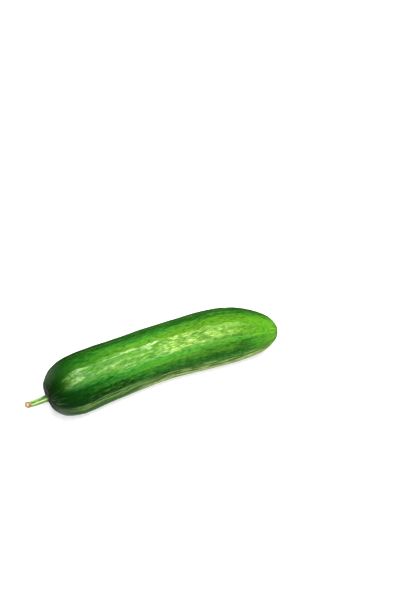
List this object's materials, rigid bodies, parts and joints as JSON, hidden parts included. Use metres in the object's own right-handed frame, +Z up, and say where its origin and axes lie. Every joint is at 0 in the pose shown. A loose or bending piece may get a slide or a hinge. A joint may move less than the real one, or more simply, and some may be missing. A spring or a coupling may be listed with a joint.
{
  "type": "cucumber",
  "caption": "Short whole cucumber lying on its side: gently bowed, finely ribbed body, blunt at the stem end and longer at the blossom end, with its short cut stem.",
  "frame": {"origin": "under the middle of the bounding box, on the surface that the cucumber lies on", "axes": "+X towards the blossom end, -X towards the stem, +Y to the outside of the bow, +Z up"},
  "size_m": [0.1546, 0.04, 0.0354],
  "materials": {
    "skin": "waxy gloss over green skin with lengthwise streaks",
    "stem": "satin light green with pale ridges"
  },
  "bodies": {
    "root": {"fruit": "skin", "stem": "stem"}
  },
  "joints": []
}
